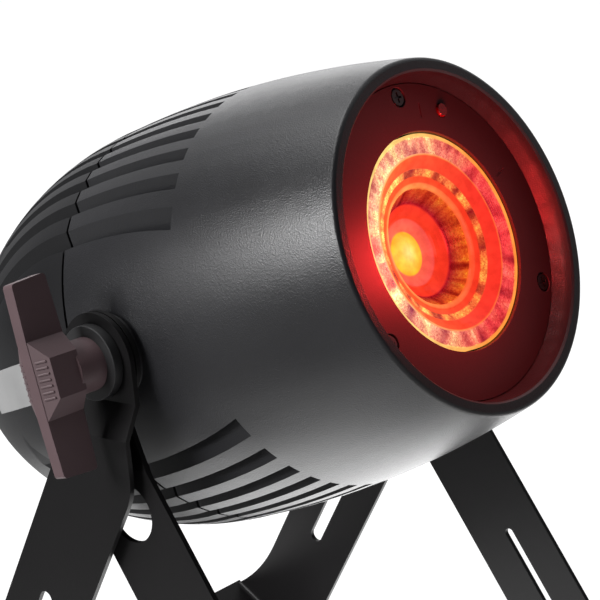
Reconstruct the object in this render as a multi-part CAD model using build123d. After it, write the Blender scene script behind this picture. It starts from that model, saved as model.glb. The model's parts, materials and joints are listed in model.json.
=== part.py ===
from build123d import *
from math import acos, atan2, cos, degrees, hypot, radians, sin, sqrt
import os

os.makedirs("parts", exist_ok=True)

# Compact LED par can on a double bracket. Millimetres, +Z up, the lamp faces -Y,
# the tilt pivot runs along X, and the origin is on the floor under the middle of the box.

# Head, along its own axis from the tilt pivot: + is towards the front rim
rim_z = 103.0
joint_z = -18.0
joint_gap = 1.2
tail_z = -119.0
rim_radius = 62.5
shoulder_z = 47.0
shoulder_radius = 74.3
belly_radius = 79.1
haunch_z = -78.0
haunch_radius = 70.8
tail_radius = 50.0
rim_wall = 4.7
rim_round = 1.6
head_tilt = 16.25

# Cooling grooves between upright fins, above and below
groove_pitch = 8.2
groove_width = 4.2
grooves_each_side = 8
groove_front_z = 38.0
groove_floor_radius = 71.0

# Inside of the shells
bore_radius = 68.5
throat_radius = 61.0
throat_z = 52.0
ledge_radius = 46.0
ledge_depth = 5.5
spigot_length = 6.0
spigot_wall = 2.0
slip_gap = 0.2
post_x = 33.0
post_y = 53.0
post_radius = 6.3
shell_screw_radius = 2.0
shell_screw_head_radius = 3.5
shell_screw_seat = -52.0

# Front plate and lens
plate_depth = 8.5
plate_thickness = 3.0
plate_radius = 56.0
recess_slope = 4.0
counterbore_radius = 3.5
counterbore_depth = 1.3
tick_places = [(9.1, 45.4, -11.3), (41.2, 16.7, -67.9)]
lens_radius = 38.3
lens_length = 36.2
# Radius and depth of each ring of the lens's stepped hollow, from the outside in
lens_rings = [(31.0, 0.6), (27.0, 4.0), (22.0, 6.2), (20.6, 13.0), (12.6, 16.0), (11.6, 18.6)]
lens_pocket_radius = 7.6
lens_pocket_depth = 11.0
lens_tail_radius = 15.0
flange_radius = 42.0
flange_thickness = 3.0
gasket_thickness = 1.0
holder_wall = 1.8
plate_screw_circle = 51.5
plate_screws_count = 3
sensor_x = 20.3
sensor_y = 43.6
sensor_radius = 2.5

# Light engine and electronics
sink_radius = 68.2
sink_base = 6.0
sink_screw_circle = 64.6
sink_fin_length = 34.0
sink_fin_thickness = 2.0
sink_fin_pitch = 6.6
sink_fins_each_side = 5
led_board_radius = 25.0
led_board_thickness = 1.6
emitter_size = 16.0
emitter_height = 1.6
standoff_x = 46.0
standoff_y = 26.0
standoff_length = 42.0
driver_board_width = 104.0
driver_board_height = 66.0
board_thickness = 1.6

# Rear panel
panel_radius = 45.0
panel_thickness = 2.0
panel_ledge = 5.0
panel_screw_circle = 41.8
button_count = 4
button_pitch = 10.0
button_y = 14.0
button_radius = 3.2
button_travel = 0.8
switch_height = 3.5
control_depth = 13.0
display_width = 27.0
display_height = 13.0
display_y = 28.0
socket_radius = 10.0
data_x = 27.0
data_y = -5.0
power_x = 13.0
power_y = -26.5
eye_y = -4.0
eye_hole_radius = 5.0
eye_radius = 9.0
eye_thickness = 3.0
eye_centre = 13.0

# Rating label, on the left of the rear shell
label_thickness = 0.25
label_low_z = -88.0
label_high_z = -48.0
label_height = 16.0

# Pivot stack, outward from the head on each side
boss_radius = 15.0
boss_face = belly_radius + 0.4
insert_length = 13.0
insert_radius = 7.0
stud_radius = 4.0
stud_fit = 0.06
hole_radius = stud_radius + stud_fit
sheet = 2.0
washer = 0.9
gap = 0.1
lug_radius = 17.0
collar_radius = 13.3
collar_thickness = 3.9

# Brackets
leg_width = 37.0
leg_hole_line = 17.8
rear_reach = 212.0
nest_gap = 9.0
front_reach = rear_reach - nest_gap
rear_offset = 1.25
front_offset = 3.7
rear_splay = 34.75
neck_turn = 32.3
# Fold lines of each neck, as distances from the pivot, and how far out the leg steps there
rear_folds = (14.4, 25.7, 6.5)
front_folds = (22.0, 38.0, 3.5)
# Top, bottom and half width of the long slot in each leg
rear_leg_slot = (96.0, 155.0, 3.1)
front_leg_slot = (120.0, 178.0, 2.0)
front_window_radius = 10.5
front_window_drop = 50.5
flare_start = 36.0
flare_radius = 70.0
elbow_radius = 22.0
bend_radius = 2.0
clamp_hole_radius = 5.25
base_slot_radius = 3.3
base_slot_length = 24.0
base_slot_place = 42.0

# Wing knob
wing_length = 69.0
wing_thickness = 5.0
hub_depth = 16.0
hub_half_length = 14.2
hub_front_half = 7.0
hub_half_width = 8.2
knob_neck_radius = 9.5
knob_neck_length = 9.0
near_wing_lean = 10.25
far_wing_lean = -28.0


def span(solid, low, high):
    """Moves a solid centred on the origin so that it runs from low to high along Z."""
    return Pos(0, 0, (low + high) / 2) * solid


def disc(radius, low, high):
    return span(Cylinder(radius, high - low), low, high)


def ring(outer, inner, low, high):
    return span(Cylinder(outer, high - low) - Cylinder(inner, high - low), low, high)


def turned(lines):
    """Turns a closed outline of (radius, z) about the Z axis."""
    return revolve(Plane.XZ * make_face(lines), Axis.Z)


def on_circle(radius, count, first=0.0):
    """Points on a circle, measured from +Y."""
    angles = [radians(first + 360.0 * i / count) for i in range(count)]
    return [(radius * sin(angle), radius * cos(angle)) for angle in angles]


def corners(x, y):
    return [(sx * x, sy * y) for sx in (-1, 1) for sy in (-1, 1)]


def pan_screw(x, y, seat, length, radius, head_radius, head_height):
    """A cross-head screw along Z whose head sits on the plane z = seat and whose tip is below it."""
    screw = disc(radius, seat - length, seat) + disc(head_radius, seat, seat + head_height)
    cross_depth = 0.6 * head_height
    cross_z = seat + head_height - cross_depth / 2
    for turn in (0, 90):
        slot = Box(1.3 * head_radius, 0.28 * head_radius, cross_depth)
        screw -= Pos(0, 0, cross_z) * (Rot(0, 0, turn) * slot)
    return Pos(x, y, 0) * screw


# ---- Shells ---------------------------------------------------------------

rear_start = joint_z - joint_gap
plate_front = rim_z - plate_depth
plate_back = plate_front - plate_thickness
ledge_back = plate_back - ledge_depth
recess_radius = rim_radius - rim_wall


def groove_cutter():
    """All the upright grooves at once, down to a round floor on the head's axis."""
    reach = 4 * belly_radius
    length = groove_front_z - tail_z
    slab = Box(groove_width, reach, length)
    slabs = [
        Pos(i * groove_pitch, 0, groove_front_z - length / 2) * slab
        for i in range(-grooves_each_side, grooves_each_side + 1)
    ]
    core = Pos(0, 0, groove_front_z - length / 2) * Cylinder(groove_floor_radius, 2 * length)
    return [piece - core for piece in slabs]


def make_front_shell():
    # The belly's greatest radius is at the joint, where both halves meet flush.
    nose = ThreePointArc((rim_radius, rim_z), (shoulder_radius, shoulder_z), (belly_radius, joint_z))
    back = Polyline((belly_radius, joint_z), (0, joint_z), (0, rim_z), (rim_radius, rim_z))
    shell = turned(nose + back)
    shell = fillet(shell.edges().filter_by(GeomType.CIRCLE).sort_by(Axis.Z)[-1], rim_round)
    for side in (-1, 1):
        boss_length = boss_face - bore_radius + 4
        boss = Rot(0, 90, 0) * Cylinder(boss_radius, boss_length)
        shell += Pos(side * (boss_face - boss_length / 2), 0, 0) * boss
    # The recess has a sloping foot that closes in on the front plate.
    slope_top = plate_front + recess_slope
    shell -= turned(Polyline(
        (0, plate_back), (plate_radius + slip_gap, plate_back), (plate_radius + slip_gap, plate_front),
        (recess_radius, slope_top), (recess_radius, rim_z + 1), (0, rim_z + 1), close=True,
    ))
    shell -= disc(ledge_radius, ledge_back, plate_back)
    shell -= disc(throat_radius, throat_z, ledge_back)
    shell -= disc(bore_radius, joint_z, throat_z)
    for side in (-1, 1):
        insert_boss = Rot(0, 90, 0) * Cylinder(11.0, insert_length)
        shell += Pos(side * (boss_face - insert_length / 2), 0, 0) * insert_boss
        socket = Rot(0, 90, 0) * Cylinder(insert_radius, insert_length)
        shell -= Pos(side * (boss_face - insert_length / 2), 0, 0) * socket
    for x, y in corners(post_x, post_y):
        shell += Pos(x, y, 0) * disc(post_radius, joint_z + spigot_length + 1, joint_z + 26)
        shell -= Pos(x, y, 0) * disc(shell_screw_radius, joint_z + spigot_length, joint_z + 21)
    for cutter in groove_cutter():
        shell -= cutter
    for x, y in on_circle(plate_screw_circle, plate_screws_count):
        shell -= Pos(x, y, 0) * disc(1.55, ledge_back - 1, plate_back)
    for x, y in on_circle(sink_screw_circle, 4, 45):
        shell -= Pos(x, y, 0) * disc(1.55, throat_z, throat_z + 9)
    rim_edge = shell.edges().filter_by(GeomType.CIRCLE).sort_by(Axis.Z)[-1]
    return chamfer(rim_edge, 0.7)


def make_rear_shell():
    tail = ThreePointArc((belly_radius, rear_start), (haunch_radius, haunch_z), (tail_radius, tail_z))
    rest = Polyline(
        (tail_radius, tail_z), (0, tail_z), (0, rear_start), (belly_radius, rear_start)
    )
    shell = turned(tail + rest)
    hollow = ThreePointArc((bore_radius, -60), (64.3, -85), (49.5, -110))
    cavity = Polyline(
        (49.5, -110), (0, -110), (0, rear_start), (bore_radius, rear_start), (bore_radius, -60)
    )
    shell -= turned(hollow + cavity)
    shell -= disc(panel_radius - panel_ledge, tail_z, -109)
    shell -= disc(panel_radius + slip_gap, tail_z, tail_z + panel_thickness)
    spigot = bore_radius - slip_gap
    shell += ring(spigot, spigot - spigot_wall, rear_start - 8, rear_start + spigot_length)
    shell += ring(bore_radius + 0.5, spigot - spigot_wall, rear_start - 8, rear_start - 2)
    post_room = turned(tail + rest) + disc(spigot, rear_start - 1, joint_z + 20)
    for x, y in corners(post_x, post_y):
        post = Pos(x, y, 0) * disc(post_radius, -100, joint_z + spigot_length)
        shell += post & post_room
    for x, y in corners(post_x, post_y):
        shell -= Pos(x, y, 0) * disc(shell_screw_head_radius + 0.4, tail_z - 1, shell_screw_seat)
        shell -= Pos(x, y, 0) * disc(shell_screw_radius + 0.15, shell_screw_seat, joint_z + 20)
    for cutter in groove_cutter():
        shell -= cutter
    for x, y in on_circle(panel_screw_circle, 4, 45):
        shell -= Pos(x, y, 0) * disc(1.3, tail_z, -110.5)
    return shell


def make_shell_screws():
    screws = []
    for x, y in corners(post_x, post_y):
        length = joint_z + 18 - shell_screw_seat
        flipped = Rot(180, 0, 0) * pan_screw(0, 0, 0, length, shell_screw_radius, 3.5, 2.6)
        screws.append(Pos(x, y, shell_screw_seat) * flipped)
    return Compound(children=screws)


def make_pivot_insert(side):
    body = Cylinder(insert_radius, insert_length) - Cylinder(stud_radius + stud_fit, insert_length)
    return Pos(side * (boss_face - insert_length / 2), 0, 0) * (Rot(0, 90, 0) * body)


# ---- Front plate, lens and light engine -----------------------------------


def make_front_plate():
    plate = ring(plate_radius, lens_radius + 0.6, plate_back, plate_front)
    for x, y in on_circle(plate_screw_circle, plate_screws_count):
        plate -= Pos(x, y, 0) * disc(1.7, plate_back, plate_front)
        plate -= Pos(x, y, 0) * disc(counterbore_radius, plate_front - counterbore_depth, plate_front)
    plate -= Pos(sensor_x, sensor_y, 0) * disc(sensor_radius + 0.1, plate_back, plate_front)
    for x, y, turn in tick_places:
        plate -= Pos(x, y, plate_front) * (Rot(0, 0, turn) * Box(0.5, 5.0, 0.6))
    return plate


def make_plate_screws():
    seat = plate_front - counterbore_depth
    places = on_circle(plate_screw_circle, plate_screws_count)
    return Compound(children=[pan_screw(x, y, seat, 7.0, 1.5, 2.9, 1.1) for x, y in places])


def make_sensor_window():
    stem = disc(sensor_radius, plate_back, plate_front - 0.4)
    dome = Pos(0, 0, plate_front - 0.4) * (Sphere(sensor_radius) & disc(sensor_radius, 0, 1.2))
    return Pos(sensor_x, sensor_y, 0) * (stem + dome)


lens_front = plate_front - 0.8
lens_back = lens_front - lens_length
flange_front = plate_back - gasket_thickness
flange_back = flange_front - flange_thickness


def lens_hollows():
    """The stepped bowl in the front of the lens and the pocket for the emitter behind it."""
    points = [(0, lens_front + 1), (lens_rings[0][0], lens_front + 1)]
    points += [(radius, lens_front - depth) for radius, depth in lens_rings]
    points.append((0, lens_front - lens_rings[-1][1]))
    bowl = turned(Polyline(*points, close=True))
    return bowl + disc(lens_pocket_radius, lens_back, lens_back + lens_pocket_depth)


def make_lens():
    waist = (0.8 * lens_radius, lens_back + 13.5)
    wall = ThreePointArc((lens_radius, flange_back), waist, (lens_tail_radius, lens_back))
    rest = Polyline(
        (lens_tail_radius, lens_back), (0, lens_back), (0, lens_front), (lens_radius, lens_front),
        (lens_radius, flange_front), (flange_radius, flange_front), (flange_radius, flange_back),
        (lens_radius, flange_back),
    )
    return turned(wall + rest) - lens_hollows()


def make_lens_gasket():
    return ring(flange_radius + 0.8, lens_radius + 0.7, flange_front, plate_back)


def make_lens_holder():
    outer = flange_radius + holder_wall
    cup = ring(outer, flange_radius + slip_gap, flange_back, plate_back - 2.5)
    cup += ring(outer, lens_radius + 0.3, flange_back - 2.5, flange_back)
    cup += ring(outer, outer - holder_wall, throat_z, flange_back)
    for x, y in on_circle(outer - 3.5, 3, 60):
        cup += Pos(x, y, 0) * disc(3.2, throat_z, throat_z + 10)
    return cup


def make_heat_sink():
    front = throat_z
    sink = disc(sink_radius, front - sink_base, front)
    fin_top = front - sink_base
    for i in range(-sink_fins_each_side, sink_fins_each_side + 1):
        x = i * sink_fin_pitch
        height = 2 * sqrt(56.0 ** 2 - x ** 2)
        fin = Box(sink_fin_thickness, height, sink_fin_length)
        sink += Pos(x, 0, fin_top - sink_fin_length / 2) * fin
    for x, y in on_circle(sink_screw_circle, 4, 45):
        sink -= Pos(x, y, 0) * disc(1.7, fin_top, front)
    return sink


def make_sink_screws():
    seat = throat_z - sink_base
    screws = []
    for x, y in on_circle(sink_screw_circle, 4, 45):
        flipped = Rot(180, 0, 0) * pan_screw(0, 0, 0, sink_base + 8, 1.5, 2.9, 1.8)
        screws.append(Pos(x, y, seat) * flipped)
    return Compound(children=screws)


led_face = throat_z + led_board_thickness


def make_led_board():
    return disc(led_board_radius, throat_z, led_face)


def make_led_emitter():
    base = span(Box(emitter_size, emitter_size, emitter_height - 0.6), led_face, led_face + 1.0)
    dome = disc(5.5, led_face + 1.0, led_face + emitter_height)
    return base + dome


board_front = throat_z - sink_base - standoff_length
board_back = board_front - board_thickness


def make_standoffs():
    posts = [
        Pos(x, y, 0) * disc(3.0, board_front, board_front + standoff_length)
        for x, y in corners(standoff_x, standoff_y)
    ]
    return Compound(children=posts)


def make_driver_board():
    board = span(Box(driver_board_width, driver_board_height, board_thickness), board_back, board_front)
    for x, y in corners(standoff_x, standoff_y):
        board -= Pos(x, y, 0) * disc(1.7, board_back, board_front)
    return board


def make_driver_capacitors():
    places = [(-28, 16), (-28, 0), (30, 18)]
    cans = [Pos(x, y, 0) * disc(6.5, board_back - 24, board_back) for x, y in places]
    return Compound(children=cans)


def make_driver_transformer():
    core = span(Box(26, 22, 18), board_back - 18, board_back)
    winding = span(Cylinder(12, 12), board_back - 16, board_back - 4)
    return Pos(6, -12, 0) * (core + winding)


def make_driver_chokes():
    places = [(-26, -18), (32, -6)]
    chokes = []
    for x, y in places:
        toroid = Rot(90, 0, 0) * Torus(6, 2.8)
        chokes.append(Pos(x, y, board_back - 8.8) * toroid)
    return Compound(children=chokes)


# ---- Rear panel ------------------------------------------------------------

panel_front = tail_z + panel_thickness
button_xs = [button_pitch * (i - (button_count - 1) / 2) for i in range(button_count)]


def make_rear_panel():
    panel = disc(panel_radius, tail_z, panel_front)
    panel -= Pos(0, display_y, tail_z) * Box(display_width + 0.4, display_height + 0.4, 9)
    for x in button_xs:
        panel -= Pos(x, button_y, 0) * disc(button_radius + 0.3, tail_z, panel_front)
    for side in (-1, 1):
        panel -= Pos(side * data_x, data_y, 0) * disc(socket_radius + 0.2, tail_z, panel_front)
        panel -= Pos(side * power_x, power_y, 0) * disc(socket_radius + 0.2, tail_z, panel_front)
    for x, y in on_circle(panel_screw_circle, 4, 45):
        panel -= Pos(x, y, 0) * disc(1.4, tail_z, panel_front)
    panel -= Pos(0, eye_y, 0) * disc(2.05, tail_z, panel_front)
    return panel


def make_panel_screws():
    screws = []
    for x, y in on_circle(panel_screw_circle, 4, 45):
        flipped = Rot(180, 0, 0) * pan_screw(0, 0, 0, 7.5, 1.25, 2.4, 1.4)
        screws.append(Pos(x, y, tail_z) * flipped)
    return Compound(children=screws)


control_front = tail_z + control_depth


def make_control_board():
    board = span(Box(58, 31, board_thickness), control_front, control_front + board_thickness)
    return Pos(0, 22.5, 0) * board


def make_control_standoffs():
    posts = [
        Pos(x, y, 0) * disc(2.0, panel_front, control_front) for x in (-22, 22) for y in (12.0, 30.0)
    ]
    return Compound(children=posts)


def make_display_module():
    return Pos(0, display_y, 0) * span(Box(30, 14, 7.5), control_front - 7.5, control_front)


def make_display_window():
    proud = 0.4
    window = Box(display_width, display_height, panel_thickness + proud)
    window = span(window, tail_z - proud, panel_front)
    back = span(Box(display_width + 2, display_height + 2, 1.2), panel_front, panel_front + 1.2)
    return Pos(0, display_y, 0) * (window + back)



def make_button_switches():
    top = control_front - switch_height
    switches = []
    for x in button_xs:
        switch = span(Box(6, 6, switch_height), top, control_front)
        switches.append(Pos(x, button_y, 0) * switch)
    return Compound(children=switches)


def make_button(index):
    """A press key: a cap through the panel and a wider foot behind it, clear of its switch."""
    cap = disc(button_radius, tail_z - 1.6, panel_front + 0.3)
    cap = fillet(cap.edges().sort_by(Axis.Z)[0], 0.6)
    foot = disc(button_radius + 0.9, panel_front + 0.3, panel_front + 1.5)
    stem_end = control_front - switch_height - button_travel - 0.1
    stem = disc(1.5, panel_front + 1.5, stem_end)
    return Pos(button_xs[index], button_y, 0) * (cap + foot + stem)


def make_data_socket(side):
    """A round three-pin signal connector: the inlet has pins, the outlet has holes."""
    body = disc(socket_radius, tail_z - 2.0, tail_z + 22)
    body += disc(socket_radius + 1.6, tail_z - 2.5, tail_z)
    pin_places = on_circle(4.2, 3, 60)
    if side < 0:
        body -= disc(8.0, tail_z - 2.5, tail_z + 14)
        for x, y in pin_places:
            body += Pos(x, y, 0) * disc(1.2, tail_z + 1.0, tail_z + 15)
    else:
        body -= ring(8.2, 7.2, tail_z - 2.5, tail_z + 12)
        for x, y in pin_places:
            body -= Pos(x, y, 0) * disc(1.3, tail_z - 2.5, tail_z + 10)
    return Pos(side * data_x, data_y, 0) * body


def make_power_socket(side):
    """A round locking mains connector with three contact slots and a keyed collar."""
    body = disc(socket_radius, tail_z - 5.0, tail_z + 20)
    body += disc(socket_radius + 1.4, tail_z - 1.6, tail_z)
    body -= ring(8.3, 5.6, tail_z - 5.0, tail_z + 9)
    for x, y in on_circle(3.2, 3, 0 if side < 0 else 60):
        body -= Pos(x, y, 0) * span(Box(1.2, 2.6, 12), tail_z - 6.0, tail_z + 6.0)
    for turn in (0, 180):
        key = Pos(0, 9.2, 0) * span(Box(3.0, 3.0, 3.9), tail_z - 5.5, tail_z - 1.6)
        body -= Rot(0, 0, turn) * key
    return Pos(side * power_x, power_y, 0) * body



def make_safety_eye():
    """A steel eye for the safety wire, on a stud that is screwed through the panel."""
    centre = tail_z - eye_centre
    blade = Pos(0, 0, centre) * (Rot(0, 90, 0) * Cylinder(eye_radius, eye_thickness))
    blade += span(Box(eye_thickness, 12, eye_centre - 2), tail_z - eye_centre, tail_z - 2.0)
    blade -= Pos(0, 0, centre) * (Rot(0, 90, 0) * Cylinder(eye_hole_radius, 2 * eye_thickness))
    stud = disc(7.0, tail_z - 2.0, tail_z) + disc(2.0, tail_z, tail_z + 12)
    return Pos(0, eye_y, 0) * (blade + stud)


def make_eye_nut():
    nut = extrude(RegularPolygon(radius=4.0, side_count=6), 3.2)
    nut = Pos(0, 0, panel_front) * nut - disc(2.0, panel_front, panel_front + 3.2)
    return Pos(0, eye_y, 0) * nut



def make_rating_label():
    """A blank sticker that follows the rear shell on its left side."""
    outer = ThreePointArc(
        (belly_radius + label_thickness, rear_start),
        (haunch_radius + label_thickness, haunch_z),
        (tail_radius + label_thickness, tail_z),
    )
    inner = ThreePointArc((belly_radius, rear_start), (haunch_radius, haunch_z), (tail_radius, tail_z))
    ends = Line(outer @ 0, inner @ 0) + Line(outer @ 1, inner @ 1)
    skin = turned(outer + inner + ends)
    window = Pos(-haunch_radius, 0, (label_low_z + label_high_z) / 2)
    return skin & (window * Box(40, label_height, label_high_z - label_low_z))


def make_shell_seal():
    return ring(groove_floor_radius - 0.2, bore_radius + 0.2, rear_start, joint_z)


# ---- Brackets ---------------------------------------------------------------

friction_low = boss_face
friction_high = friction_low + washer
inner_low = friction_high + gap
inner_high = inner_low + sheet
spacer_low = inner_high + gap
spacer_high = spacer_low + washer / 2
outer_low = spacer_high
outer_high = outer_low + sheet
collar_low = outer_high + gap
collar_high = collar_low + collar_thickness
pivot_height = rear_reach * cos(radians(rear_splay))
pivot_height += (rear_offset + leg_width) * sin(radians(rear_splay))
# The front bracket opens until its crossbar meets the same floor as the rear one.
front_foot = front_offset + leg_width
front_splay = degrees(
    atan2(front_foot, front_reach) + acos(pivot_height / hypot(front_foot, front_reach))
)


def pivot_ring(outer, inner, low, high, side):
    body = span(Cylinder(outer, high - low) - Cylinder(inner, high - low), low, high)
    return Rot(0, side * 90, 0) * body


def leg_outline(reach, offset):
    """Side view of one leg: x is across the leg, y is down it, and the pivot is at the origin.

    The lug is round on the pivot, the neck leans by neck_turn, and the leg hangs beside the
    pivot and flares out to the crossbar.
    """
    turn = radians(neck_turn)
    far_edge = offset + leg_width
    run = (far_edge - lug_radius * cos(turn)) / sin(turn)
    elbow = (far_edge, run * cos(turn) - lug_radius * sin(turn))
    tangent = (lug_radius * cos(turn), -lug_radius * sin(turn))
    root = (offset, sqrt(lug_radius ** 2 - offset ** 2))
    start = reach - flare_start
    flare = flare_radius - sqrt(flare_radius ** 2 - flare_start ** 2)
    half = flare_start / 2
    bulge = flare_radius - sqrt(flare_radius ** 2 - half ** 2)
    edge = Polyline(
        (0, 0), tangent, elbow, (far_edge, reach), (offset - flare, reach)
    )
    sweep_in = ThreePointArc((offset - flare, reach), (offset - bulge, reach - half), (offset, start))
    back = Polyline((offset, start), root, (0, 0))
    leg = Circle(lug_radius) + make_face(edge + sweep_in + back)
    elbow_corner = leg.vertices().sort_by_distance((elbow[0], elbow[1], 0))[0]
    leg = fillet(elbow_corner, elbow_radius)
    root_corner = leg.vertices().sort_by_distance((root[0], root[1], 0))[0]
    return fillet(root_corner, 5.0)


def leg_slot(centre_x, top, bottom, radius):
    return Pos(centre_x, (top + bottom) / 2) * (Rot(0, 0, 90) * SlotOverall(bottom - top, 2 * radius))


def joggle_band(low, folds):
    """A folded strip seen edge on: it steps outward between the two fold lines of the neck."""
    start, end, step = folds
    reach = 3 * rear_reach
    points = [
        (-reach, low), (start, low), (end, low + step), (reach, low + step),
        (reach, low + step + sheet), (end - 0.6, low + step + sheet),
        (start - 0.6, low + sheet), (-reach, low + sheet),
    ]
    face = make_face(Polyline(*points, close=True))
    return Rot(0, 0, 90 - neck_turn) * (Rot(90, 0, 0) * extrude(face, reach, both=True))


def bend_edges(bracket, y, z):
    """The two straight edges across a bracket where a leg meets the crossbar."""
    return [
        edge for edge in bracket.edges().filter_by(Axis.X)
        if abs(edge.center().Y - y) < 0.01 and abs(abs(edge.center().Z) - z) < 0.01
    ]


def make_bracket(reach, offset, lug_low, folds, slot, window_radius):
    """A U of sheet steel in leg coordinates: x across, y down the leg, z along the pivot."""
    outline = leg_outline(reach, offset) - Circle(hole_radius)
    outline -= leg_slot(offset + leg_hole_line, *slot)
    if window_radius > 0:
        outline -= Pos(offset + leg_hole_line, front_window_drop) * Circle(window_radius)
    step = folds[-1]
    leg_low = lug_low + step
    leg = Pos(0, 0, lug_low) * extrude(outline, step + sheet) & joggle_band(lug_low, folds)
    flare = flare_radius - sqrt(flare_radius ** 2 - flare_start ** 2)
    width = leg_width + flare
    centre_x = offset + leg_width - width / 2
    half_span = leg_low + sheet
    bar = Pos(centre_x, reach - sheet / 2, 0) * Box(width, sheet, 2 * half_span)
    hole_x = offset + leg_width / 2 - flare / 2
    drill = Rot(90, 0, 0) * Cylinder(clamp_hole_radius, 4 * sheet)
    bar -= Pos(hole_x, reach, 0) * drill
    bar_slot = Rot(90, 0, 0) * extrude(SlotOverall(base_slot_length, 2 * base_slot_radius), 8, both=True)
    for side in (-1, 1):
        bar -= Pos(hole_x, reach, side * base_slot_place) * bar_slot
    bracket = bar + leg + mirror(leg, Plane.XY)
    bracket = fillet(bend_edges(bracket, reach, half_span), bend_radius + sheet)
    return fillet(bend_edges(bracket, reach - sheet, leg_low), bend_radius)


# ---- Wing knob ---------------------------------------------------------------

knob_base = collar_high
hub_low = knob_base + knob_neck_length
hub_high = hub_low + hub_depth


def make_knob(side, lean):
    """A moulded wing knob: round neck, flat tapered wing and a sloped hub on both faces."""
    half = wing_length / 2
    profile = make_face(Polyline(
        (-half, hub_low + 0.8), (-hub_half_length, hub_low), (hub_half_length, hub_low),
        (half, hub_low + 0.8), (half - 1.0, hub_high - 0.6), (hub_half_length - 1.5, hub_high),
        (-hub_half_length + 1.5, hub_high), (-half + 1.0, hub_high - 0.6), close=True,
    ))
    profile = fillet(profile.vertices().filter_by(lambda v: abs(v.X) > half - 2), 1.4)
    wing = extrude(Plane.XZ * profile, wing_thickness / 2, both=True)
    foot = Plane.XZ.offset(-wing_thickness / 2 + 0.5)
    crown = Plane.XZ.offset(-hub_half_width)
    middle = (hub_low + hub_high) / 2
    base = foot * (Pos(0, middle) * Rectangle(2 * hub_half_length, hub_high - hub_low))
    top = crown * (Pos(0, middle - 1.2) * Rectangle(2 * hub_front_half, hub_high - hub_low - 4.2))
    wedge = loft(Sketch() + [base, top])
    knob = wing + wedge + mirror(wedge, Plane.XZ)
    knob += disc(knob_neck_radius, knob_base, hub_low + 2)
    knob -= disc(stud_radius, knob_base, hub_low + 8)
    return Rot(0, side * 90, 0) * (Rot(0, 0, -side * lean) * knob)


def make_stud(side):
    return Rot(0, side * 90, 0) * disc(stud_radius, boss_face - insert_length + 1, hub_low + 8)


# ---- Placing and writing -------------------------------------------------------

head_place = Pos(0, 0, pivot_height) * Rot(90 - head_tilt, 0, 0)
pivot_place = Pos(0, 0, pivot_height)


def place_bracket(bracket, splay, side):
    """Leg coordinates to the stand: side -1 swings the leg back, +1 forward."""
    across = Plane(origin=(0, 0, 0), x_dir=(0, side, 0), z_dir=(-side, 0, 0))
    swing = Rot(-side * splay, 0, 0)
    return pivot_place * (swing * (across.location * bracket))


head_nodes = {
    "front_shell": make_front_shell(),
    "rear_shell": make_rear_shell(),
    "shell_seal": make_shell_seal(),
    "shell_screws": make_shell_screws(),
    "pivot_insert_left": make_pivot_insert(-1),
    "pivot_insert_right": make_pivot_insert(1),
    "front_plate": make_front_plate(),
    "plate_screws": make_plate_screws(),
    "sensor_window": make_sensor_window(),
    "collimator_lens": make_lens(),
    "lens_gasket": make_lens_gasket(),
    "lens_holder": make_lens_holder(),
    "heat_sink": make_heat_sink(),
    "heat_sink_screws": make_sink_screws(),
    "led_board": make_led_board(),
    "led_emitter": make_led_emitter(),
    "board_standoffs": make_standoffs(),
    "driver_board": make_driver_board(),
    "driver_capacitors": make_driver_capacitors(),
    "driver_transformer": make_driver_transformer(),
    "driver_chokes": make_driver_chokes(),
    "rear_panel": make_rear_panel(),
    "panel_screws": make_panel_screws(),
    "control_standoffs": make_control_standoffs(),
    "control_board": make_control_board(),
    "display_module": make_display_module(),
    "display_window": make_display_window(),
    "button_switches": make_button_switches(),
    "data_inlet": make_data_socket(-1),
    "data_outlet": make_data_socket(1),
    "power_inlet": make_power_socket(-1),
    "power_outlet": make_power_socket(1),
    "safety_eye": make_safety_eye(),
    "safety_eye_nut": make_eye_nut(),
    "rating_label": make_rating_label(),
}
for index, name in enumerate(("menu", "down", "up", "enter")):
    head_nodes["button_" + name] = make_button(index)

nodes = {name: head_place * shape for name, shape in head_nodes.items()}

rear_bracket = make_bracket(rear_reach, rear_offset, outer_low, rear_folds, rear_leg_slot, 0)
front_bracket = make_bracket(
    front_reach, front_offset, inner_low, front_folds, front_leg_slot, front_window_radius
)
nodes["rear_bracket"] = place_bracket(rear_bracket, rear_splay, -1)
nodes["front_bracket"] = place_bracket(front_bracket, front_splay, 1)

for side, name, lean in ((-1, "left", near_wing_lean), (1, "right", far_wing_lean)):
    friction = pivot_ring(lug_radius - 3, hole_radius, friction_low, friction_high, side)
    spacer = pivot_ring(lug_radius - 3, hole_radius, spacer_low, spacer_high, side)
    collar = pivot_ring(collar_radius, hole_radius, collar_low, collar_high, side)
    nodes["friction_washer_" + name] = pivot_place * friction
    nodes["bracket_washer_" + name] = pivot_place * spacer
    nodes["knob_collar_" + name] = pivot_place * collar
    nodes["knob_stud_" + name] = pivot_place * make_stud(side)
    nodes["wing_knob_" + name] = pivot_place * make_knob(side, lean)

box = Compound(children=[Part() + shape for shape in nodes.values()]).bounding_box()
to_origin = Pos(-(box.min.X + box.max.X) / 2, -(box.min.Y + box.max.Y) / 2, -box.min.Z)
for name, shape in nodes.items():
    export_step(to_origin * shape, "parts/" + name + ".step")
print("pivot at", (to_origin * pivot_place).position, "box", box.size)
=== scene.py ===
import json
import math

import bmesh
import bpy
from mathutils import Euler, Matrix, Vector


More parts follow.
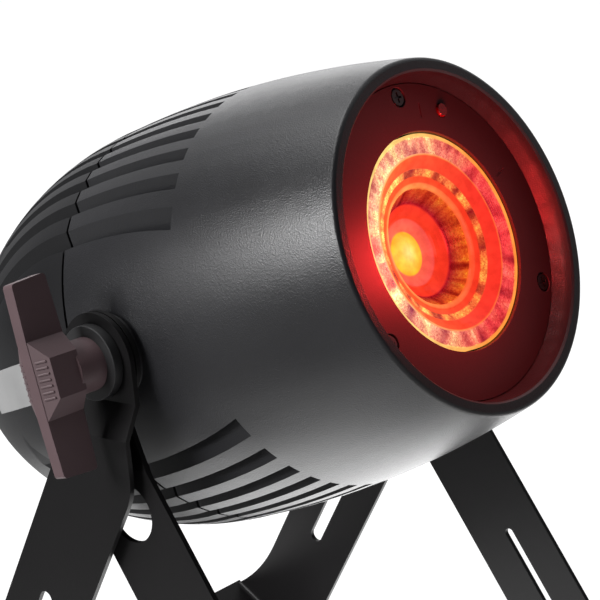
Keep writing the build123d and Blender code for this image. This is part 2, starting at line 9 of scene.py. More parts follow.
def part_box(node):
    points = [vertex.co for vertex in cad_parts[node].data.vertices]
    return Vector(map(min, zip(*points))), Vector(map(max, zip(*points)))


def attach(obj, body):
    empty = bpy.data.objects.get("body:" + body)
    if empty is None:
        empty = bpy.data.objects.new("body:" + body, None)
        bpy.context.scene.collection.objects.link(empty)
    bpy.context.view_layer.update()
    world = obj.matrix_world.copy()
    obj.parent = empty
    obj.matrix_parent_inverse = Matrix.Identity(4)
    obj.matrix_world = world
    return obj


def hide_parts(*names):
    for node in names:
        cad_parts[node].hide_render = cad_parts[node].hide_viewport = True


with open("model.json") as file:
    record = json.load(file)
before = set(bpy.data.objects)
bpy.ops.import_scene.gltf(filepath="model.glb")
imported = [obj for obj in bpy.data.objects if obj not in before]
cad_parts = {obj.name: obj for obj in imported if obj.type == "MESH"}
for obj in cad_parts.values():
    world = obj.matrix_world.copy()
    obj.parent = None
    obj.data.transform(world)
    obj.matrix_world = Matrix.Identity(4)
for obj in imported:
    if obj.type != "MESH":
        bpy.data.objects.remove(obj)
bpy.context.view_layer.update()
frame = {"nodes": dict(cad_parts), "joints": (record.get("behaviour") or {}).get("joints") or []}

# ---- Studio ---------------------------------------------------------------
# A pale seamless floor under a broad overhead softbox, with a strong panel on the left
# and a weak one on the far side. The camera stands in front, on the lamp's left.

scene = bpy.context.scene
scene.view_settings.view_transform = "Standard"

camera = bpy.data.cameras.new("studio_camera")
camera.lens = 102.04
camera.sensor_width = 36.0
camera.clip_end = 60.0
camera_object = bpy.data.objects.new("studio_camera", camera)
camera_object.location = (-0.45607, -0.447707, 0.327949)
camera_object.rotation_euler = Euler([math.radians(a) for a in (78.0563, 6.9665, -48.9009)])
scene.collection.objects.link(camera_object)
scene.camera = camera_object


def start_clean():
    """Leaves edit mode and deselects everything before the next piece."""
    if bpy.context.object and bpy.context.object.mode != "OBJECT":
        bpy.ops.object.mode_set(mode="OBJECT")
    bpy.ops.object.select_all(action="DESELECT")


def new_finish(name):
    """A fresh material with its shader; returns the material, its node tree and its shader."""
    finish = bpy.data.materials.new(name)
    finish.use_nodes = True
    return finish, finish.node_tree, finish.node_tree.nodes["Principled BSDF"]


def node(tree, kind, values=None, **settings):
    """Adds a shader node; values go on its inputs by name, settings on the node."""
    made = tree.nodes.new(kind)
    for key, value in settings.items():
        setattr(made, key, value)
    for key, value in (values or {}).items():
        made.inputs[key].default_value = value
    return made


start_clean()
bpy.ops.mesh.primitive_plane_add(size=60.0, location=(0, 0, 0))
floor = bpy.context.object
floor.name = "studio_floor"
floor_finish, tree, shader = new_finish("pale_floor")
shader.inputs["Base Color"].default_value = (0.2, 0.2, 0.2, 1)
shader.inputs["Roughness"].default_value = 0.9
shader.inputs["Specular IOR Level"].default_value = 0.1
shader.inputs["Emission Color"].default_value = (1.0, 1.0, 1.0, 1)
grain = node(tree, "ShaderNodeTexNoise", {"Scale": 40.0, "Detail": 3.0})
bump = node(tree, "ShaderNodeBump", {"Strength": 0.05, "Distance": 0.001})
tree.links.new(grain.outputs["Fac"], bump.inputs["Height"])
tree.links.new(bump.outputs["Normal"], shader.inputs["Normal"])
# The floor lights the lamp most from just under and behind the barrel, and less further
# out. The camera itself sees it evenly pale.
bright_spot = (0.07, 0.03, 0.0)
bright_radius, dim_radius = 0.10, 0.32
bright_floor, dim_floor, pale_floor = 3.0, 0.12, 0.95
spot = node(tree, "ShaderNodeTexCoord")
beyond = node(tree, "ShaderNodeVectorMath", {1: bright_spot}, operation="DISTANCE")
table = node(tree, "ShaderNodeMapRange", {
    "From Min": bright_radius, "From Max": dim_radius, "To Min": bright_floor, "To Max": dim_floor,
})
seen = node(tree, "ShaderNodeLightPath")
strength = node(tree, "ShaderNodeMix")
strength.inputs[3].default_value = pale_floor
tree.links.new(spot.outputs["Object"], beyond.inputs[0])
tree.links.new(beyond.outputs["Value"], table.inputs["Value"])
tree.links.new(seen.outputs["Is Camera Ray"], strength.inputs[0])
tree.links.new(table.outputs["Result"], strength.inputs[2])
tree.links.new(strength.outputs[0], shader.inputs["Emission Strength"])
floor.data.materials.append(floor_finish)

world = bpy.data.worlds.new("studio_air")
scene.world = world
world.use_nodes = True
sky = world.node_tree
backdrop = sky.nodes["Background"]
# The air is dark behind the camera and bright beyond the lamp, and plain white to the camera.
bright_direction = (0.62, 0.38, 0.6)
coordinates = node(sky, "ShaderNodeTexCoord")
across = node(sky, "ShaderNodeVectorMath", {1: bright_direction}, operation="DOT_PRODUCT")
fade = node(sky, "ShaderNodeValToRGB")
fade.color_ramp.elements[0].position = 0.3
fade.color_ramp.elements[0].color = (0.05, 0.05, 0.055, 1)
fade.color_ramp.elements[1].position = 0.8
fade.color_ramp.elements[1].color = (1.0, 1.0, 1.02, 1)
path = node(sky, "ShaderNodeLightPath")
sky.links.new(coordinates.outputs["Generated"], across.inputs[0])
sky.links.new(across.outputs["Value"], fade.inputs["Fac"])
sky.links.new(fade.outputs["Color"], backdrop.inputs["Color"])
backdrop.inputs["Strength"].default_value = 0.6
white = node(sky, "ShaderNodeBackground", {"Color": (1, 1, 1, 1), "Strength": 1.4})
choose = node(sky, "ShaderNodeMixShader")
sky.links.new(path.outputs["Is Camera Ray"], choose.inputs[0])
sky.links.new(backdrop.outputs[0], choose.inputs[1])
sky.links.new(white.outputs[0], choose.inputs[2])
sky.links.new(choose.outputs[0], sky.nodes["World Output"].inputs["Surface"])


def softbox(name, place, aim, width, height, watts):
    """A white rectangular area light at place, turned towards aim, not seen by the camera."""
    lamp = bpy.data.lights.new(name, "AREA")
    lamp.shape = "RECTANGLE"
    lamp.size = width
    lamp.size_y = height
    lamp.energy = watts
    holder = bpy.data.objects.new(name, lamp)
    holder.location = place
    holder.rotation_euler = (Vector(aim) - Vector(place)).to_track_quat("-Z", "Y").to_euler()
    holder.visible_camera = False
    scene.collection.objects.link(holder)


softbox("overhead_softbox", (-0.3, 0.45, 1.9), (0, 0, 0.15), 1.5, 1.1, 14)
softbox("left_panel", (-1.75, 0.35, 1.0), (0, 0, 0.2), 0.8, 0.6, 36)
softbox("far_panel", (1.3, 1.1, 0.9), (0, 0, 0.2), 1.2, 0.9, 5)

# ---- Brackets -------------------------------------------------------------
# Two U-shaped stands of 2 mm sheet steel, punched and folded, with a satin black
# powder coat. The narrower one folds inside the wider; both hang on the pivot studs.

nodes = frame["nodes"]
mm = 0.001


def coat(name, tone, grain_scale, grain_depth, rough, shine, fleck=1.35):
    """A powder coat: a fine pebbled skin, with slight drifts of tone and gloss."""
    finish, tree, shader = new_finish(name)
    place = node(tree, "ShaderNodeTexCoord")
    pebble = node(tree, "ShaderNodeTexNoise", {"Scale": grain_scale, "Detail": 3.0, "Roughness": 0.6})
    pits = node(tree, "ShaderNodeTexVoronoi", {"Scale": grain_scale * 0.8})
    drift = node(tree, "ShaderNodeTexNoise", {"Scale": 18.0, "Detail": 4.0})
    height = node(tree, "ShaderNodeMath", operation="ADD")
    skin = node(tree, "ShaderNodeBump", {"Strength": 0.6, "Distance": grain_depth})
    tones = node(tree, "ShaderNodeValToRGB")
    tones.color_ramp.elements[0].position = 0.3
    tones.color_ramp.elements[0].color = (*[c * 0.8 for c in tone], 1)
    tones.color_ramp.elements[1].position = 0.75
    tones.color_ramp.elements[1].color = (*[c * fleck for c in tone], 1)
    blend = node(tree, "ShaderNodeMath", {1: 0.5}, operation="MULTIPLY_ADD")
    half = node(tree, "ShaderNodeMath", {1: 0.5}, operation="MULTIPLY")
    gloss = node(tree, "ShaderNodeMapRange", {"To Min": rough - 0.06, "To Max": rough + 0.08})
    for source in (pebble, pits, drift):
        tree.links.new(place.outputs["Object"], source.inputs["Vector"])
    tree.links.new(pebble.outputs["Fac"], height.inputs[0])
    tree.links.new(pits.outputs["Distance"], height.inputs[1])
    tree.links.new(height.outputs[0], skin.inputs["Height"])
    tree.links.new(pebble.outputs["Fac"], blend.inputs[0])
    tree.links.new(drift.outputs["Fac"], half.inputs[0])
    tree.links.new(half.outputs[0], blend.inputs[2])
    tree.links.new(blend.outputs[0], tones.inputs["Fac"])
    tree.links.new(tones.outputs["Color"], shader.inputs["Base Color"])
    tree.links.new(drift.outputs["Fac"], gloss.inputs["Value"])
    tree.links.new(gloss.outputs["Result"], shader.inputs["Roughness"])
    tree.links.new(skin.outputs["Normal"], shader.inputs["Normal"])
    shader.inputs["Specular IOR Level"].default_value = shine
    return finish


weld_distance = 0.000002
sharp_edge = math.radians(28)


def dress(finish, *names, round_mm=0.0, segments=2):
    """Gives CAD nodes their finish, and rounds and smooths their edges without moving them."""
    for name in names:
        piece = nodes[name]
        for slot in piece.material_slots:
            slot.link = "OBJECT"
            slot.material = finish
        if not piece.material_slots:
            piece.data.materials.append(finish)
        weld = piece.modifiers.new("join_faces", "WELD")
        weld.merge_threshold = weld_distance
        if round_mm > 0:
            bevel = piece.modifiers.new("worn_edges", "BEVEL")
            bevel.width = round_mm * mm
            bevel.segments = segments
            bevel.limit_method = "ANGLE"
            bevel.angle_limit = sharp_edge
            bevel.use_clamp_overlap = True
            bevel.harden_normals = False
        soft = piece.modifiers.new("even_shading", "WEIGHTED_NORMAL")
        soft.keep_sharp = True


bracket_coat = coat("bracket_powder_coat", (0.0062, 0.0058, 0.0062), 2200, 0.00003, 0.4, shine=0.17)
dress(bracket_coat, "rear_bracket", "front_bracket", round_mm=0.35)

# ---- Barrel shells ----------------------------------------------------------
# Two die-cast halves with upright cooling grooves, in a fine textured black coat.
# The front half carries the rim and pivots; four long screws pull the rear half to it.

shell_coat = coat(
    "shell_powder_coat", (0.0065, 0.0065, 0.0075), 2600, 0.00009, 0.32, shine=0.62, fleck=3.0
)
rear_coat = coat("rear_shell_powder_coat", (0.008, 0.008, 0.009), 2300, 0.00004, 0.38, shine=0.35)
dress(shell_coat, "front_shell", round_mm=0.3)
dress(rear_coat, "rear_shell", round_mm=0.3)


def plain_metal(name, tone, rough, brushed=220.0):
    """Bright metal with fine drawn scratches and slight staining."""
    finish, tree, shader = new_finish(name)
    place = node(tree, "ShaderNodeTexCoord")
    stretch = node(tree, "ShaderNodeMapping", {"Scale": (1.0, 1.0, 9.0)})
    scratch = node(tree, "ShaderNodeTexNoise", {"Scale": brushed, "Detail": 5.0})
    stain = node(tree, "ShaderNodeTexNoise", {"Scale": 30.0, "Detail": 3.0})
    tones = node(tree, "ShaderNodeValToRGB")
    tones.color_ramp.elements[0].color = (*[c * 0.75 for c in tone], 1)
    tones.color_ramp.elements[1].color = (*tone, 1)
    gloss = node(tree, "ShaderNodeMapRange", {"To Min": rough - 0.08, "To Max": rough + 0.12})
    skin = node(tree, "ShaderNodeBump", {"Strength": 0.25, "Distance": 0.00003})
    tree.links.new(place.outputs["Object"], stretch.inputs["Vector"])
    tree.links.new(stretch.outputs["Vector"], scratch.inputs["Vector"])
    tree.links.new(place.outputs["Object"], stain.inputs["Vector"])
    tree.links.new(stain.outputs["Fac"], tones.inputs["Fac"])
    tree.links.new(tones.outputs["Color"], shader.inputs["Base Color"])
    tree.links.new(scratch.outputs["Fac"], gloss.inputs["Value"])
    tree.links.new(gloss.outputs["Result"], shader.inputs["Roughness"])
    tree.links.new(scratch.outputs["Fac"], skin.inputs["Height"])
    tree.links.new(skin.outputs["Normal"], shader.inputs["Normal"])
    shader.inputs["Metallic"].default_value = 1.0
    return finish


def moulded(name, tone, rough, grain_scale=1800.0, grain_depth=0.00003, coat_weight=0.0):
    """Moulded plastic or rubber with a fine spark-eroded grain."""
    finish, tree, shader = new_finish(name)
    place = node(tree, "ShaderNodeTexCoord")
    pebble = node(tree, "ShaderNodeTexNoise", {"Scale": grain_scale, "Detail": 2.0})
    flow = node(tree, "ShaderNodeTexNoise", {"Scale": 35.0, "Detail": 3.0})
    tones = node(tree, "ShaderNodeValToRGB")
    tones.color_ramp.elements[0].position = 0.25
    tones.color_ramp.elements[0].color = (*[c * 0.85 for c in tone], 1)
    tones.color_ramp.elements[1].position = 0.8
    tones.color_ramp.elements[1].color = (*[c * 1.2 for c in tone], 1)
    gloss = node(tree, "ShaderNodeMapRange", {"To Min": rough - 0.05, "To Max": rough + 0.07})
    skin = node(tree, "ShaderNodeBump", {"Strength": 0.5, "Distance": grain_depth})
    for source in (pebble, flow):
        tree.links.new(place.outputs["Object"], source.inputs["Vector"])
    tree.links.new(flow.outputs["Fac"], tones.inputs["Fac"])
    tree.links.new(tones.outputs["Color"], shader.inputs["Base Color"])
    tree.links.new(flow.outputs["Fac"], gloss.inputs["Value"])
    tree.links.new(gloss.outputs["Result"], shader.inputs["Roughness"])
    tree.links.new(pebble.outputs["Fac"], skin.inputs["Height"])
    tree.links.new(skin.outputs["Normal"], shader.inputs["Normal"])
    shader.inputs["Coat Weight"].default_value = coat_weight
    return finish


black_rubber = moulded("black_rubber", (0.012, 0.012, 0.012), 0.7)
black_steel = plain_metal("blackened_steel", (0.14, 0.12, 0.12), 0.34)
zinc_plate = plain_metal("bright_zinc_plate", (0.62, 0.62, 0.6), 0.3)
dress(black_rubber, "shell_seal")
dress(black_steel, "shell_screws", round_mm=0.15)
dress(zinc_plate, "pivot_insert_left", "pivot_insert_right", round_mm=0.2)

# ---- Front plate ------------------------------------------------------------
# A flat black painted ring, sunk behind the rim and held by three cross-head screws,
# with a small red window for the remote control beside the top screw.

# The plate paint is tinted red: painted red glow from the lens, on top of the real spill lamp.
red_glow_plate_coat = coat("plate_paint_painted_red_glow", (0.040, 0.017, 0.020), 2400, 0.00003, 0.5, shine=0.25)
dress(red_glow_plate_coat, "front_plate", round_mm=0.2)
dress(black_steel, "plate_screws", round_mm=0.12)

red_window, tree, shader = new_finish("red_sensor_window")
place = node(tree, "ShaderNodeTexCoord")
cloud = node(tree, "ShaderNodeTexNoise", {"Scale": 900.0, "Detail": 2.0})
tones = node(tree, "ShaderNodeValToRGB")
tones.color_ramp.elements[0].color = (0.03, 0.0, 0.001, 1)
tones.color_ramp.elements[1].color = (0.16, 0.003, 0.006, 1)
tree.links.new(place.outputs["Object"], cloud.inputs["Vector"])
tree.links.new(cloud.outputs["Fac"], tones.inputs["Fac"])
tree.links.new(tones.outputs["Color"], shader.inputs["Base Color"])
shader.inputs["Roughness"].default_value = 0.12
dress(red_window, "sensor_window")

# ---- Lens ---------------------------------------------------------------------
# A clear acrylic collimator, turned in steps like a staircase down to the emitter.
# Its outer steps are pebbled with rows of tiny facets, and the red light fills it.

pivot = Vector(next(j for j in frame["joints"] if j["name"] == "head_tilt")["pos_m"])
beam = Vector(next(j for j in frame["joints"] if j["name"] == "key_menu_press")["axis"])
head_turn = Matrix.Rotation(math.radians(90) - math.atan2(beam.z, -beam.y), 4, "X")
head_place = Matrix.Translation(pivot) @ head_turn


def seat_in_head(piece):
    """Moves a piece from the head's own axis at the pivot to its place in the lamp."""
    start_clean()
    piece.select_set(True)
    bpy.context.view_layer.objects.active = piece
    piece.matrix_world = head_place @ piece.matrix_world
    bpy.ops.object.transform_apply(location=True, rotation=True, scale=True)


# The lens in millimetres from the pivot: its outer face, and the radius and depth below
# that face of every edge of the staircase, from the flange in to the middle.
lens_face = 93.7
lens_steps = [
    (38.3, -6.5), (38.3, -0.35), (37.95, 0.0), (37.5, -0.1), (37.2, -0.7),
    (35.3, -0.95), (33.3, -1.2), (31.5, -1.5), (31.2, -1.2), (30.8, -1.35),
    (29.0, -2.9), (27.2, -4.3), (26.9, -4.5), (25.7, -5.2), (24.5, -5.8), (24.3, -5.9),
    (22.9, -6.4), (22.2, -6.3), (21.6, -6.35), (21.1, -6.9), (20.7, -7.6), (19.0, -10.2),
    (17.4, -12.4), (16.7, -13.3), (16.2, -13.7), (14.4, -14.9), (12.9, -15.7), (12.4, -16.2),
    (12.1, -16.4), (10.1, -17.4), (8.5, -18.0), (8.1, -18.4), (7.7, -18.3), (5.8, -17.7),
    (3.6, -17.2), (1.6, -17.0),
]
pebbled_bands = [(31.6, 37.1), (24.55, 26.85), (16.75, 20.6)]
facets_around = 216
facet_edge = 0.00016
facet_rise = 0.00022

start_clean()
flange_radius, flange_depth = lens_steps[0]
bpy.ops.mesh.primitive_circle_add(
    vertices=facets_around, radius=flange_radius * mm, location=(0, 0, (lens_face + flange_depth) * mm)
)
lens = bpy.context.object
lens.name = "stepped_lens"
bpy.ops.object.mode_set(mode="EDIT")
bpy.ops.mesh.select_all(action="SELECT")
for (radius, depth), (next_radius, next_depth) in zip(lens_steps, lens_steps[1:]):
    bpy.ops.mesh.extrude_region_move(
        TRANSFORM_OT_translate={"value": (0, 0, (next_depth - depth) * mm)}
    )
    ratio = next_radius / radius
    bpy.ops.transform.resize(value=(ratio, ratio, 1), center_override=(0, 0, 0))
bpy.ops.mesh.edge_face_add()
bpy.ops.mesh.poke()
bpy.ops.mesh.select_all(action="SELECT")
bpy.ops.mesh.normals_make_consistent(inside=False)


def select_pebbled_steps():
    """Selects the faces of the pebbled steps and nothing else."""
    bpy.ops.mesh.select_all(action="DESELECT")
    skin = bmesh.from_edit_mesh(lens.data)
    for face in skin.faces:
        middle = face.calc_center_median()
        radius = math.hypot(middle.x, middle.y) / mm
        face.select = any(low < radius < high for low, high in pebbled_bands)
    bmesh.update_edit_mesh(lens.data)


# The pebbled steps are cut finer, and every facet is raised a little on its own.
select_pebbled_steps()
bpy.ops.mesh.subdivide(number_cuts=1)
select_pebbled_steps()
bpy.ops.mesh.inset(thickness=facet_edge, depth=facet_rise, use_individual=True)
bpy.ops.object.mode_set(mode="OBJECT")
seat_in_head(lens)
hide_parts("collimator_lens")
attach(lens, "head")
bpy.ops.object.select_all(action="DESELECT")


def head_point(tree):
    """Shader coordinates in the head's own axes, with z along the beam from the pivot."""
    place = node(tree, "ShaderNodeTexCoord")
    local = node(tree, "ShaderNodeMapping", vector_type="TEXTURE")
    local.inputs["Location"].default_value = pivot
    local.inputs["Rotation"].default_value = head_turn.to_euler()
    tree.links.new(place.outputs["Object"], local.inputs["Vector"])
    return local.outputs["Vector"]


def ramp(tree, stops):
    """A colour ramp from (position, colour) stops."""
    made = node(tree, "ShaderNodeValToRGB")
    for extra in range(len(stops) - 2):
        made.color_ramp.elements.new(0.5)
    for element, (position, colour) in zip(made.color_ramp.elements, stops):
        element.position = position
        element.color = (*colour, 1)
    return made


def blend_colours(tree, factor, first, second):
    """The first colour where factor is 0 and the second where it is 1."""
    mix = node(tree, "ShaderNodeMix", data_type="RGBA")
    tree.links.new(factor, mix.inputs[0])
    tree.links.new(first, mix.inputs[6])
    tree.links.new(second, mix.inputs[7])
    return mix.outputs[2]


def multiply_colours(tree, first, second):
    """The first colour tinted by the second."""
    mix = node(tree, "ShaderNodeMix", data_type="RGBA", blend_type="MULTIPLY")
    mix.inputs[0].default_value = 1.0
    tree.links.new(first, mix.inputs[6])
    tree.links.new(second, mix.inputs[7])
    return mix.outputs[2]


# The painted glow on each ring, by radius in millimetres from the hot middle to the rim:
# first its painted shaded side, then its paler painted lit side with painted highlights.
outer_radius = 39.0
ring_tones = [
    (0.0, (1.0, 0.70, 0.10), (1.0, 1.0, 0.45)), (4.0, (1.0, 0.50, 0.03), (1.0, 0.85, 0.15)),
    (7.6, (1.0, 0.42, 0.02), (1.0, 0.60, 0.04)), (8.2, (0.85, 0.10, 0.06), (1.0, 0.20, 0.10)),
    (11.9, (0.80, 0.08, 0.07), (0.95, 0.14, 0.08)),
    (12.4, (0.80, 0.04, 0.015), (0.95, 0.06, 0.02)), (16.2, (0.75, 0.035, 0.015), (0.85, 0.04, 0.02)),
    (16.8, (0.28, 0.004, 0.014), (0.30, 0.006, 0.018)), (20.4, (0.70, 0.10, 0.01), (0.55, 0.03, 0.02)),
    (21.0, (0.95, 0.10, 0.03), (1.0, 0.50, 0.12)), (22.1, (0.90, 0.08, 0.03), (1.0, 0.38, 0.10)),
    (22.6, (0.86, 0.045, 0.015), (1.0, 0.13, 0.03)), (24.4, (0.84, 0.04, 0.015), (1.0, 0.12, 0.03)),
    (24.8, (0.85, 0.16, 0.04), (1.0, 0.30, 0.10)), (26.7, (0.85, 0.14, 0.04), (1.0, 0.28, 0.10)),
    (27.1, (0.86, 0.04, 0.02), (1.0, 0.12, 0.04)), (30.7, (0.84, 0.035, 0.02), (1.0, 0.14, 0.04)),
    (31.1, (0.95, 0.16, 0.04), (1.0, 0.50, 0.15)), (31.7, (0.80, 0.05, 0.06), (1.0, 0.50, 0.32)),
    (36.8, (0.84, 0.06, 0.06), (1.0, 0.42, 0.26)), (37.4, (1.0, 0.33, 0.05), (1.0, 0.72, 0.22)),
]
# The lens glow is painted: emission by radius and side, with painted highlights, streaks and glints.
lens_lit, tree, shader = new_finish("lit_lens")
local = head_point(tree)
axes = node(tree, "ShaderNodeSeparateXYZ")
flat = node(tree, "ShaderNodeCombineXYZ")
far = node(tree, "ShaderNodeVectorMath", operation="LENGTH")
share = node(tree, "ShaderNodeMath", {1: 1.0 / (outer_radius * mm)}, operation="MULTIPLY")
tree.links.new(local, axes.inputs[0])
tree.links.new(axes.outputs["X"], flat.inputs["X"])
tree.links.new(axes.outputs["Y"], flat.inputs["Y"])
tree.links.new(flat.outputs[0], far.inputs[0])
tree.links.new(far.outputs["Value"], share.inputs[0])


def ring_ramps(tones):
    """The ring's painted glow as two ramps over the radius: the painted shaded side and the painted lit
    side.
    """
    shaded = ramp(tree, [(radius / outer_radius, low) for radius, low, high in tones])
    bright = ramp(tree, [(radius / outer_radius, high) for radius, low, high in tones])
    for each in (shaded, bright):
        tree.links.new(share.outputs[0], each.inputs["Fac"])
    return shaded.outputs["Color"], bright.outputs["Color"]


shaded, bright = ring_ramps(ring_tones)
# Painted highlight: the lamp's left and upper left are painted paler, as its lit side.
painted_highlight_direction = (-21.0, 8.0, 0.0)
middle_share = 0.45
slant = node(tree, "ShaderNodeVectorMath", {1: painted_highlight_direction}, operation="DOT_PRODUCT")
painted_highlight_side = node(tree, "ShaderNodeMath", {1: middle_share}, operation="ADD")
painted_highlight_side.use_clamp = True
tree.links.new(local, slant.inputs[0])
tree.links.new(slant.outputs["Value"], painted_highlight_side.inputs[0])
base_glow = blend_colours(tree, painted_highlight_side.outputs[0], shaded, bright)
# Painted streaks of light and shade, where the clear wall bends the light: they run outward,
# some dark and some pale. They change fast round the lens and slowly along its radius.
change_round = 3.6
change_outward = 1.8
angle = node(tree, "ShaderNodeMath", operation="ARCTAN2")
fan = node(tree, "ShaderNodeCombineXYZ")
turns = node(tree, "ShaderNodeMath", {1: change_round}, operation="MULTIPLY")
slow = node(tree, "ShaderNodeMath", {1: change_outward}, operation="MULTIPLY")
streaks = node(
    tree, "ShaderNodeTexNoise", {"Scale": 1.25, "Detail": 1.5, "Roughness": 0.5, "Distortion": 0.15}
)
painted_streak_tone = ramp(tree, [
    (0.30, (0.28, 0.08, 0.30)), (0.42, (0.70, 0.5, 0.6)), (0.50, (1.0, 1.0, 1.0)),
    (0.60, (1.05, 1.7, 1.2)), (0.70, (1.2, 2.8, 2.2)),
])
tree.links.new(axes.outputs["Y"], angle.inputs[0])
tree.links.new(axes.outputs["X"], angle.inputs[1])
tree.links.new(angle.outputs[0], turns.inputs[0])
tree.links.new(share.outputs[0], slow.inputs[0])
tree.links.new(turns.outputs[0], fan.inputs["X"])
tree.links.new(slow.outputs[0], fan.inputs["Y"])
tree.links.new(fan.outputs[0], streaks.inputs["Vector"])
tree.links.new(streaks.outputs["Fac"], painted_streak_tone.inputs["Fac"])
painted_streak_glow = multiply_colours(tree, base_glow, painted_streak_tone.outputs["Color"])
# Painted glints: every facet of the stipple gets its own painted share of light.
facets = node(tree, "ShaderNodeTexVoronoi", {"Scale": 1900.0})
spread = node(tree, "ShaderNodeTexNoise", {"Scale": 260.0, "Detail": 3.0})
for source in (facets, spread):
    tree.links.new(local, source.inputs["Vector"])
painted_facet_glints = ramp(tree, [
    (0.0, (0.65, 0.45, 0.5)), (0.4, (0.95, 0.85, 0.85)), (0.7, (1.05, 1.2, 1.15)), (1.0, (1.25, 2.0, 1.6)),
])
tree.links.new(facets.outputs["Color"], painted_facet_glints.inputs["Fac"])
painted_glint_glow = multiply_colours(tree, painted_streak_glow, painted_facet_glints.outputs["Color"])
smooth, pebbled = (0, 0, 0), (1, 1, 1)
blur = 0.15
band_stops = []
for low, high in pebbled_bands:
    band_stops += [
        ((low - blur) / outer_radius, smooth), (low / outer_radius, pebbled),
        (high / outer_radius, pebbled), ((high + blur) / outer_radius, smooth),
    ]
stipple = ramp(tree, sorted(band_stops))
tree.links.new(share.outputs[0], stipple.inputs["Fac"])
glow = blend_colours(tree, stipple.outputs["Color"], base_glow, painted_glint_glow)
soft = ramp(tree, [(0.35, (0.86, 0.80, 0.80)), (0.65, (1.08, 1.1, 1.1))])
tree.links.new(spread.outputs["Fac"], soft.inputs["Fac"])
uneven = multiply_colours(tree, glow, soft.outputs["Color"])
tree.links.new(uneven, shader.inputs["Emission Color"])
shader.inputs["Base Color"].default_value = (0.02, 0.002, 0.002, 1)
shader.inputs["Emission Strength"].default_value = 1.05
shader.inputs["Roughness"].default_value = 0.15
shader.inputs["Specular IOR Level"].default_value = 0.12
lens.data.materials.append(lens_lit)

# A soft red lamp just inside the rim stands for the light that the lens spills on the plate.
spill = bpy.data.lights.new("lens_spill", "POINT")
spill.energy = 0.42
spill.color = (1.0, 0.03, 0.03)
spill.shadow_soft_size = 0.012
spill_object = bpy.data.objects.new("lens_spill", spill)
spill_object.location = head_place @ Vector((-0.007, 0.0, 0.109))
spill_object.visible_camera = False
scene.collection.objects.link(spill_object)
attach(spill_object, "head")

# ---- Light engine -----------------------------------------------------------
# A red emitter on an aluminium board, screwed to a finned heat sink behind the lens.
# A moulded holder grips the lens flange, and a rubber ring seals it to the plate.

bare_aluminium = plain_metal("bare_aluminium", (0.78, 0.78, 0.79), 0.34, brushed=160.0)
black_moulding = moulded("black_moulding", (0.014, 0.014, 0.015), 0.5)
dress(black_rubber, "lens_gasket")
dress(black_moulding, "lens_holder", round_mm=0.2)
dress(bare_aluminium, "heat_sink", "led_board")
dress(zinc_plate, "heat_sink_screws")
emitter_lit, tree, shader = new_finish("red_emitter")
local = head_point(tree)
cells = node(tree, "ShaderNodeTexVoronoi", {"Scale": 600.0})
hot = ramp(tree, [(0.0, (1.0, 0.35, 0.08)), (0.8, (1.0, 0.06, 0.01))])
tree.links.new(local, cells.inputs["Vector"])
tree.links.new(cells.outputs["Distance"], hot.inputs["Fac"])
tree.links.new(hot.outputs["Color"], shader.inputs["Emission Color"])
shader.inputs["Emission Strength"].default_value = 2.0
dress(emitter_lit, "led_emitter")

# ---- Driver -------------------------------------------------------------------
# A green circuit board on four steel posts behind the heat sink, carrying sleeved
# capacitors, a taped transformer and two copper-wound ring chokes.


def solder_mask(name, tone, trace):
    """Green lacquer over copper tracks and pads."""
    finish, tree, shader = new_finish(name)
    local = head_point(tree)
    tracks = node(tree, "ShaderNodeTexBrick", {"Scale": 90.0, "Mortar Size": 0.03, "Brick Width": 0.7})
    tracks.inputs["Color1"].default_value = (*tone, 1)
    tracks.inputs["Color2"].default_value = (*[c * 0.8 for c in tone], 1)
    tracks.inputs["Mortar"].default_value = (*trace, 1)
    weave = node(tree, "ShaderNodeTexNoise", {"Scale": 1500.0})
    skin = node(tree, "ShaderNodeBump", {"Strength": 0.3, "Distance": 0.00003})
    tree.links.new(local, tracks.inputs["Vector"])
    tree.links.new(local, weave.inputs["Vector"])
    tree.links.new(tracks.outputs["Color"], shader.inputs["Base Color"])
    tree.links.new(weave.outputs["Fac"], skin.inputs["Height"])
    tree.links.new(skin.outputs["Normal"], shader.inputs["Normal"])
    shader.inputs["Roughness"].default_value = 0.35
    return finish


green_board = solder_mask("green_solder_mask", (0.02, 0.13, 0.045), (0.05, 0.26, 0.08))
dress(zinc_plate, "board_standoffs", "control_standoffs")
dress(green_board, "driver_board", "control_board")
dress(moulded("capacitor_sleeve", (0.015, 0.016, 0.03), 0.25, coat_weight=0.4), "driver_capacitors")
dress(moulded("yellow_tape", (0.72, 0.55, 0.08), 0.4, grain_scale=300.0), "driver_transformer")
dress(plain_metal("copper_winding", (0.72, 0.33, 0.18), 0.3, brushed=900.0), "driver_chokes")

# ---- Rear panel ---------------------------------------------------------------
# A painted steel disc let into the back of the shell by four small screws. Behind it sits
# the control board, with a display under a smoked window and a switch behind each key.

panel_coat = coat("rear_panel_paint", (0.013, 0.013, 0.014), 2400, 0.00003, 0.45, shine=0.3)
dress(panel_coat, "rear_panel", round_mm=0.15)
dress(black_steel, "panel_screws", round_mm=0.1)
dress(black_moulding, "display_module", "button_switches")
smoked_window = moulded(
    "smoked_window", (0.006, 0.007, 0.009), 0.12, grain_scale=300.0, grain_depth=0.000005, coat_weight=0.6
)
dress(smoked_window, "display_window", round_mm=0.15)
key_plastic = moulded("key_plastic", (0.02, 0.02, 0.022), 0.32, coat_weight=0.2)
dress(key_plastic, "button_menu", "button_down", "button_up", "button_enter", round_mm=0.15)

# ---- Connectors ---------------------------------------------------------------
# Moulded panel connectors: round signal sockets either side, and below them a blue
# mains inlet and a grey mains outlet that lock with a quarter turn.

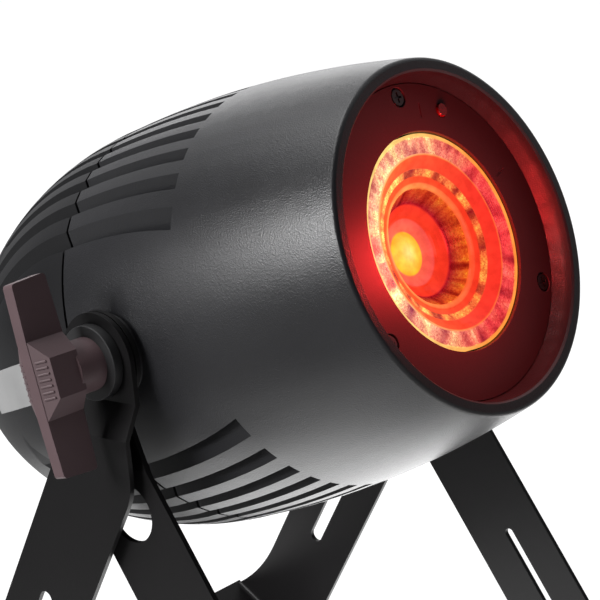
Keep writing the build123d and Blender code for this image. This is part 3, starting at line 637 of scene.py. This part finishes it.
dress(black_moulding, "data_inlet", "data_outlet", round_mm=0.25)
dress(moulded("blue_moulding", (0.02, 0.07, 0.36), 0.4), "power_inlet", round_mm=0.25)
dress(moulded("grey_moulding", (0.32, 0.33, 0.35), 0.42), "power_outlet", round_mm=0.25)

# ---- Safety eye and label -------------------------------------------------------
# A zinc plated steel eye for the safety wire, held by a nut behind the panel, and a
# plain paper sticker on the left of the rear shell.

dress(zinc_plate, "safety_eye", "safety_eye_nut", round_mm=0.25)
label_paper = moulded("label_paper", (0.33, 0.33, 0.33), 0.55, grain_scale=700.0, grain_depth=0.00001)
dress(label_paper, "rating_label")

# ---- Pivot stack ------------------------------------------------------------------
# On each side a rubber friction washer, a thin plastic washer between the two brackets,
# and a moulded collar under the knob, all on a zinc plated stud that screws into the head.

for side in ("left", "right"):
    dress(black_rubber, "friction_washer_" + side)
    dress(black_moulding, "bracket_washer_" + side)
    dress(black_moulding, "knob_collar_" + side, round_mm=0.35, segments=3)
    dress(zinc_plate, "knob_stud_" + side)

# ---- Wing knobs ---------------------------------------------------------------------
# Black moulded wings with a raised hub, over the end of the stud, tinted warm with painted
# red light. Each hub face has a row of plain raised ribs for grip.

# The knob plastic is painted warm and lighter than black: painted red light on the wings.
knob_plastic = moulded("knob_plastic", (0.11, 0.068, 0.074), 0.5, grain_scale=1500.0, grain_depth=0.00005)
dress(knob_plastic, "wing_knob_left", "wing_knob_right", round_mm=0.7, segments=3)
rib_size = Vector((0.0009, 0.0044, 0.0010))
rib_count = 7
rib_pitch = 0.0021
rib_edge = 0.0003
rib_places = [(index - rib_count // 2) * rib_pitch for index in range(rib_count)]
hub_slope = math.radians(28)
face_from_axis = 0.0051
rib_below_end = 0.0017
# Each knob was tightened to its own angle, in degrees, so its wings stand at a lean.
for side, direction, lean in (("left", -1, 10.25), ("right", 1, -28.0)):
    knob_low, knob_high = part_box("wing_knob_" + side)
    outer_end = max(abs(knob_low[0]), abs(knob_high[0]))
    knob_turn = Matrix.Rotation(math.radians(direction * 90), 4, "Y") @ Matrix.Rotation(
        math.radians(-direction * lean), 4, "Z"
    )
    for face, face_name in ((-1, "front"), (1, "back")):
        for index, along in enumerate(rib_places):
            start_clean()
            centre = Vector((along, face * face_from_axis, outer_end - rib_below_end))
            bpy.ops.mesh.primitive_cube_add(
                size=1.0, location=centre, rotation=(-face * hub_slope, 0, 0), scale=rib_size
            )
            rib = bpy.context.object
            rib.name = "hub_rib_%s_%s_%d" % (side, face_name, index + 1)
            bpy.ops.object.transform_apply(location=True, rotation=True, scale=True)
            bpy.ops.object.mode_set(mode="EDIT")
            bpy.ops.mesh.select_all(action="SELECT")
            bpy.ops.mesh.bevel(offset=rib_edge, segments=2)
            bpy.ops.object.mode_set(mode="OBJECT")
            rib.matrix_world = Matrix.Translation(pivot) @ knob_turn
            bpy.ops.object.transform_apply(location=True, rotation=True, scale=True)
            rib.data.materials.append(knob_plastic)
            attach(rib, "knob_" + side)
